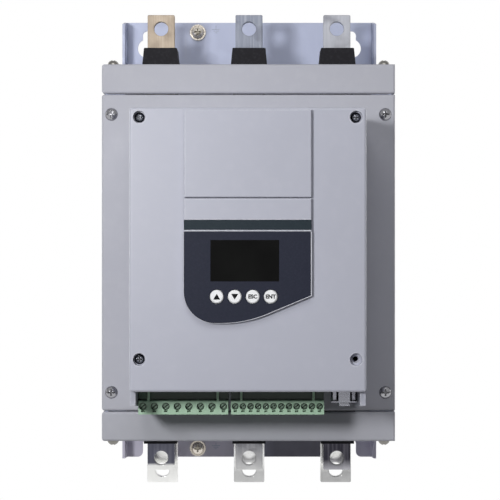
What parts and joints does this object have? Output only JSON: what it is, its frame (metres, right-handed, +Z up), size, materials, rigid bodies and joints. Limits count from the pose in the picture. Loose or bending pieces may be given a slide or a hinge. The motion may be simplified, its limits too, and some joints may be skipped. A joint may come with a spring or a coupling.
{
  "type": "soft starter",
  "caption": "Wall-mounted soft starter with line bars on top, motor and bypass bars below, a front keypad and pull-off terminal plugs.",
  "frame": {"origin": "middle of the wall plate's back face", "axes": "+X right seen from the front, +Y into the wall, +Z up; the keypad faces -Y"},
  "size_m": [0.2, 0.259, 0.3523],
  "materials": {
    "zinc_sheet": "galvanised, satin",
    "aluminium": "extruded",
    "module_case": "moulded",
    "tinned_copper": "tin plated, brushed",
    "bright_copper": "tin plated, bright",
    "transformer_case": "moulded",
    "rubber": "matte",
    "fan_plastic": "moulded",
    "body_paint": "satin grey paint",
    "cover_plastic": "fine moulded grain",
    "trim_dark": "smooth",
    "keypad_dark": "fine moulded grain",
    "window": "polished",
    "display": "plain",
    "board": "lacquered",
    "key_white": "smooth",
    "header_green": "moulded",
    "plug_green": "moulded",
    "screw_steel": "zinc plated",
    "port_metal": "nickel plated",
    "dark_screw": "blackened",
    "zinc_yellow": "yellow zinc",
    "brass": "turned"
  },
  "bodies": {
    "unit": {"mounting_chassis": "zinc_sheet", "heatsink": "aluminium", "thyristor_module_1": "module_case", "thyristor_module_2": "module_case", "thyristor_module_3": "module_case", "line_bar_1": "tinned_copper", "line_bar_2": "tinned_copper", "line_bar_3": "tinned_copper", "motor_bar_1": "tinned_copper", "motor_bar_2": "tinned_copper", "motor_bar_3": "tinned_copper", "bypass_bar_1": "bright_copper", "bypass_bar_2": "bright_copper", "bypass_bar_3": "bright_copper", "current_transformer_1": "transformer_case", "current_transformer_2": "transformer_case", "current_transformer_3": "transformer_case", "top_boot_1": "rubber", "top_boot_2": "rubber", "top_boot_3": "rubber", "bottom_boot_1": "rubber", "bottom_boot_2": "rubber", "bottom_boot_3": "rubber", "fan_frame_1": "fan_plastic", "fan_frame_2": "fan_plastic", "main_cover": "body_paint", "top_cap": "body_paint", "bottom_cap": "body_paint", "control_housing": "cover_plastic", "front_cover": "cover_plastic", "blank_plate": "cover_plastic", "trim_band": "trim_dark", "keypad_panel": "keypad_dark", "display_window": "window", "display_module": "display", "keypad_board": "board", "control_board": "board", "firing_board": "board", "relay_header": "header_green", "control_header": "header_green", "module_screws": "screw_steel", "busbar_bolts": "screw_steel", "body_screws": "screw_steel", "cap_screws": "screw_steel", "serial_port": "port_metal", "cover_screws": "dark_screw", "earth_screws": "zinc_yellow", "board_spacers": "brass"},
    "key_up": {"key_up": "key_white"},
    "key_down": {"key_down": "key_white"},
    "key_escape": {"key_escape": "key_white"},
    "key_enter": {"key_enter": "key_white"},
    "fan_rotor_1": {"fan_rotor_1": "fan_plastic"},
    "fan_rotor_2": {"fan_rotor_2": "fan_plastic"},
    "relay_plug": {"relay_plug": "plug_green", "relay_clamp_screws": "screw_steel"},
    "control_plug": {"control_plug": "plug_green", "control_clamp_screws": "screw_steel"}
  },
  "joints": [
    {"name": "key_up_press", "type": "slide", "parent": "unit", "child": "key_up", "axis": [0, 1, 0], "range_m": [0, 0.001], "stiffness_N_per_m": 800, "springref_m": -0.0004},
    {"name": "key_down_press", "type": "slide", "parent": "unit", "child": "key_down", "axis": [0, 1, 0], "range_m": [0, 0.001], "stiffness_N_per_m": 800, "springref_m": -0.0004},
    {"name": "key_escape_press", "type": "slide", "parent": "unit", "child": "key_escape", "axis": [0, 1, 0], "range_m": [0, 0.001], "stiffness_N_per_m": 800, "springref_m": -0.0004},
    {"name": "key_enter_press", "type": "slide", "parent": "unit", "child": "key_enter", "axis": [0, 1, 0], "range_m": [0, 0.001], "stiffness_N_per_m": 800, "springref_m": -0.0004},
    {"name": "fan_spin_1", "type": "hinge", "parent": "unit", "child": "fan_rotor_1", "pos_m": [-0.0325, -0.022, -0.0998], "axis": [0, 0, 1], "continuous": true},
    {"name": "fan_spin_2", "type": "hinge", "parent": "unit", "child": "fan_rotor_2", "pos_m": [0.0325, -0.022, -0.0998], "axis": [0, 0, 1], "continuous": true},
    {"name": "relay_plug_pull", "type": "slide", "parent": "unit", "child": "relay_plug", "axis": [0, 0, -1], "range_m": [0, 0.012]},
    {"name": "control_plug_pull", "type": "slide", "parent": "unit", "child": "control_plug", "axis": [0, 0, -1], "range_m": [0, 0.012]}
  ]
}
